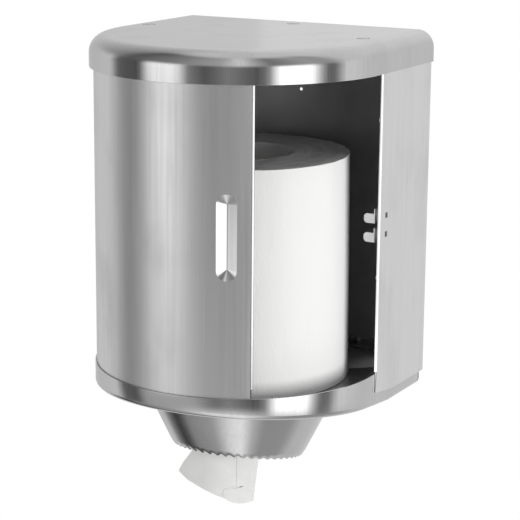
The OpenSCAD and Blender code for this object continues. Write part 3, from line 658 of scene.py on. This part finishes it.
# Paper
def wound_roll():
    """The roll: a ring section turned round, a little loose at its upper end."""
    low, high = ROLL_LOW, ROLL_LOW + ROLL_TALL
    left, right = ROLL_HOLE + ROLL_EDGE, ROLL_R - ROLL_EDGE
    corners = [arc(x, z, ROLL_EDGE, start, start + 90, steps=3) for x, z, start in (
        (right, low + ROLL_EDGE, -90), (right, high - ROLL_EDGE, 0),
        (left, high - ROLL_EDGE, 90), (left, low + ROLL_EDGE, 180))]
    section = []
    for corner, following in zip(corners, corners[1:] + corners[:1]):
        first, last = Vector(corner[-1]), Vector(following[0])
        section += corner + [first.lerp(last, row / ROLL_ROWS) for row in range(1, ROLL_ROWS)]
    roll = turned(section, steps=ROLL_STEPS, closed=True)
    for vertex in roll.data.vertices:
        place = vertex.co
        if place.z > (high - RIM) * MM:
            place.z += (RUFFLE * noise.noise(place * RUFFLE_FINE) - SINKING) * MM
        if math.hypot(place.x, place.y) > (ROLL_R - SIDE) * MM:
            rise = (place.z / MM - low) / ROLL_TALL
            soft = noise.noise(Vector((place.x, place.y, place.z * DENT_FLAT)) * DENT_FINE)
            shrink = 1 - (TAPER * rise ** 2 + SHRINKING + DENT * soft) / ROLL_R
            place.x *= shrink
            place.y *= shrink
    roll.data.transform(Matrix.Translation(HOME) @ shift(0, ROLL_FRONT, 0))
    finished(roll, "wound_roll", "roll", "roll_paper", "paper", "paper_roll", angle=60)


def limit(share):
    return max(0, min(1, share))


def blend_list(table, share):
    """Value at a share of the way through a list, along straight lines."""
    place = limit(share) * (len(table) - 1)
    first = min(int(place), len(table) - 2)
    return table[first] + (table[first + 1] - table[first]) * (place - first)


def edge_place(name, z):
    """How far right an edge of the folded web hangs at height z."""
    down = -z
    if name in HIDDEN_EDGES:
        return HIDDEN_EDGES[name]
    if name == "front":
        notch = limit(down - NOTCH_FROM)
        return FRONT_EDGE - notch * (NOTCH_WIDE + max(0, down - SLANT_FROM) * NOTCH_SLANT)
    table, top, length = WEB_EDGES[name]
    return blend_list(table, (down - top) / length)


def web_place(u, v):
    """Point of the web at u from -1 to 1 across it and v from 0 at the roll to 1."""
    run = (u + 1) / 2 * WEB[-1]
    layer = max(k for k in range(len(LAYERS)) if run >= WEB[k])
    share = (run - WEB[layer]) / (WEB[layer + 1] - WEB[layer])
    start, end, lows, depth = LAYERS[layer]
    z = WEB_TOP + (blend_list(lows, share) + WEB_LIFT - WEB_TOP) * v
    s = edge_place(start, z) * (1 - share) + edge_place(end, z) * share
    fold = depth - max(0, share - 1 + BEND_SHARE) / BEND_SHARE
    fold += WAVE * math.sin(s * WAVE_ACROSS + z * WAVE_DOWN)
    fold += CRUMPLE * noise.noise(Vector((s * CRUMPLE_ACROSS, z * CRUMPLE_DOWN, 1)))
    hanging = turn_about("Z", WEB_TURN) @ Vector((s, -fold, z))
    round_x, round_y = polar(ROLL_HOLE - WEB_GAP, WRAP_HALF * u + WRAP_MIDDLE)
    settled = limit(v * SETTLE_PACE)
    settled = settled * settled * (3 - 2 * settled)
    place = Vector((round_x, round_y, z)).lerp(hanging, settled)
    return (place + Vector((0, ROLL_FRONT, 0))) * MM + HOME


def paper_sheet():
    """The web's hanging end, folded lengthwise."""
    only()
    bpy.ops.mesh.primitive_grid_add(x_subdivisions=WEB_MESH[0], y_subdivisions=WEB_MESH[1], size=2)
    tail = bpy.context.object
    for vertex in tail.data.vertices:
        vertex.co = web_place(vertex.co.x, (1 - vertex.co.y) / 2)
    modify(tail, "SOLIDIFY", thickness=PAPER_THICK * MM, offset=0)
    finished(tail, "paper_sheet", "roll", "sheet_paper", "paper", "paper_tail", angle=60)


# Studio
def pale_floor():
    """Pale floor far below the dispenser, fading out towards its rim."""
    only()
    bpy.ops.mesh.primitive_circle_add(
        vertices=96, radius=FLOOR_R, fill_type="NGON", location=FLOOR_PLACE)
    floor = bpy.context.object
    bake_place(floor)
    floor.name = "pale_floor"
    pale = Finish("pale_floor", Roughness=0.8)
    x, y = pale.place.axes()[:2]
    pale.set("Base Color", pale.mix(pale.noise(scale=3), *map(grey, FLOOR_SHADES)))
    pale.set("Alpha", 1 - ((x * x + y * y) ** 0.5).ramp(*FLOOR_FADE))
    floor.data.materials.append(pale.material)
    floor.visible_glossy = False


def soft_lamps():
    """Two square lamps to the left and right of the camera."""
    for name, angle, power in LAMPS:
        data = bpy.data.lights.new(name, "AREA")
        data.shape, data.size, data.energy = "SQUARE", LAMP_SIZE, power
        lamp = bpy.data.objects.new(name, data)
        bpy.context.scene.collection.objects.link(lamp)
        way = math.radians(CAMERA_SIDE + angle)
        lamp.location = LAMP_AIM + Vector(
            (LAMP_FAR * math.cos(way), LAMP_FAR * math.sin(way), LAMP_HIGH))
        lamp.rotation_euler = (LAMP_AIM - lamp.location).to_track_quat("-Z", "Y").to_euler()
        lamp.visible_glossy = False


def light_room():
    """A white background, and a room of light and dark walls that only glossy rays see."""
    world = bpy.data.worlds.new("light_room")
    bpy.context.scene.world = world
    room = Tree(world)
    aimed = room.add("ShaderNodeMapping", {"vector_type": "POINT"}, {
        "Vector": room.add("ShaderNodeTexCoord", output="Generated"),
        "Rotation": (0, 0, math.radians(-CAMERA_SIDE))})
    x, y, z = aimed.axes()
    share_round = y.math("ARCTAN2", y, x) / (2 * math.pi) + 0.5

    def shades_round(table):
        """Brightness from a table of angles to the right of the camera."""
        shades = room.add("ShaderNodeValToRGB", inputs={"Fac": share_round})
        stops = shades.socket.node.color_ramp.elements
        for count, (angle, shade) in enumerate(table):
            place = (angle + 180) / 360
            stop = stops[count] if count < 2 else stops.new(place)
            stop.position, stop.color = place, (*grey(shade), 1)
        return shades

    level, above, below = (shades_round(table) for table in (ROOM_LEVEL, ROOM_ABOVE, ROOM_BELOW))
    patch = (1 - z.ramp(*PATCH_TOP)) * (1 - y.ramp(*PATCH_RIGHT)) * x.ramp(*PATCH_BACK)
    walls = room.mix(patch, level, grey(PATCH_SHADE))
    walls = room.mix(z.ramp(*ABOVE_FROM), walls, above)
    walls = room.mix(z.ramp(*ZENITH_FROM), walls, grey(ZENITH_SHADE))
    walls = room.mix(1 - z.ramp(*BELOW_FROM), walls, below)
    path = room.add("ShaderNodeLightPath").socket.node
    shiny, seen = (Value(room, path.outputs[ray]) for ray in ("Is Glossy Ray", "Is Camera Ray"))
    lit = room.mix(shiny, grey(PLAIN_SHADE), walls)
    room.feed(room.nodes["Background"].inputs["Color"], room.mix(seen, lit, grey(1)))


bpy.context.scene.view_settings.view_transform = "Standard"
photo_camera()
for node, name, body, finish in COPIES:
    node_copy(node, name, body, finish, SLOTS.get(node, finish))
folded_casing()
door_sheet()
rounded_cap()
wound_roll()
paper_sheet()
pale_floor()
soft_lamps()
light_room()
